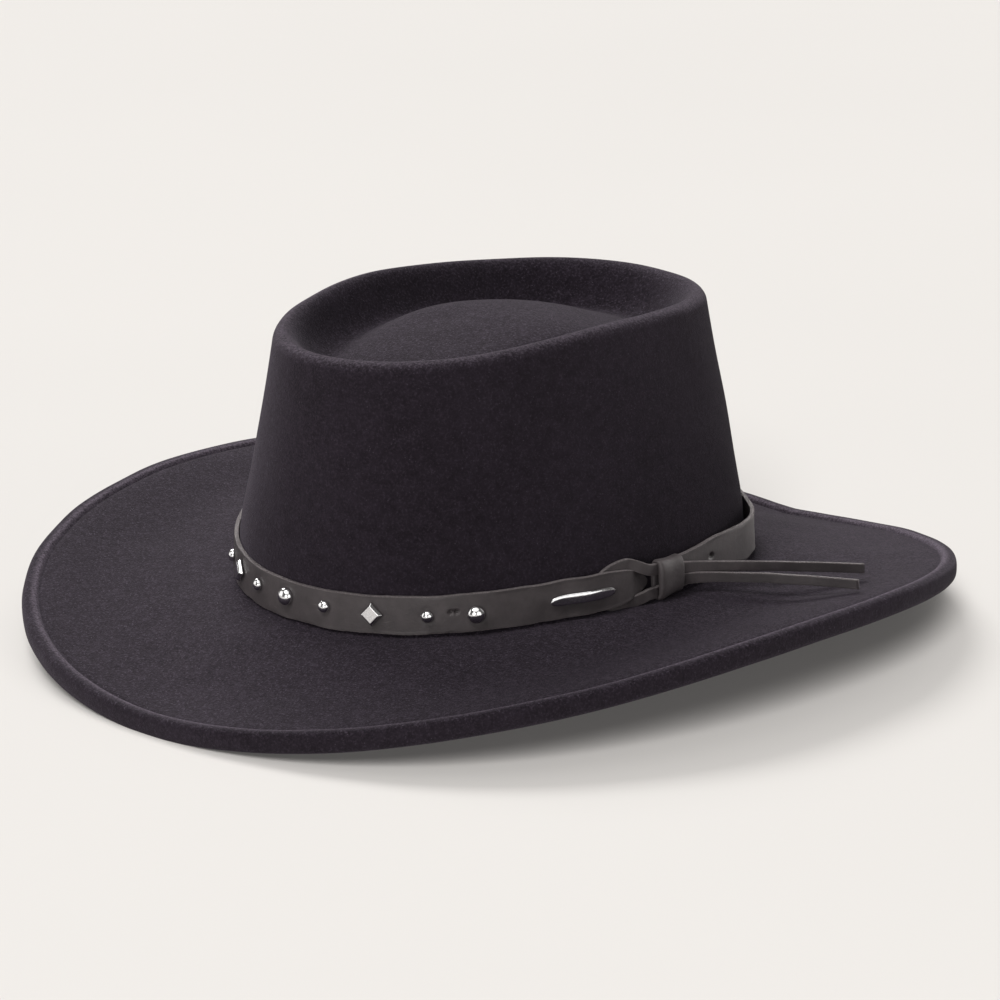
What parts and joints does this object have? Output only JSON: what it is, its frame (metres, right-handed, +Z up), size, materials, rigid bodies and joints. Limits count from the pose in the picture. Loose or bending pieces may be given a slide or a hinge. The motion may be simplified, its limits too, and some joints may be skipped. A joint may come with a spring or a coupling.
{
  "type": "felt hat",
  "caption": "Black felt hat with a telescope crown, a curled brim with a welted edge, and a leather band with metal studs and a side knot.",
  "frame": {"origin": "on the surface that the hat rests on, under the middle of the brim", "axes": "+Z up, the hat's front towards -Y, the wearer's left towards +X"},
  "size_m": [0.3232, 0.3542, 0.1258],
  "materials": {
    "felt": "soft matte wool felt, black with a purple-grey cast",
    "leather": "smooth charcoal leather with a satin face and lighter cut edges",
    "polished_metal": "polished nickel"
  },
  "bodies": {
    "root": {"felt_body": "felt", "hat_band": "leather", "band_cord": "leather", "band_keeper": "leather", "plain_bar": "polished_metal", "stud_1_small": "polished_metal", "stud_2_diamond": "polished_metal", "stud_3_small": "polished_metal", "stud_4_large": "polished_metal", "stud_5_small": "polished_metal", "stud_6_diamond": "polished_metal", "stud_7_small": "polished_metal", "stud_8_large": "polished_metal"}
  },
  "joints": []
}
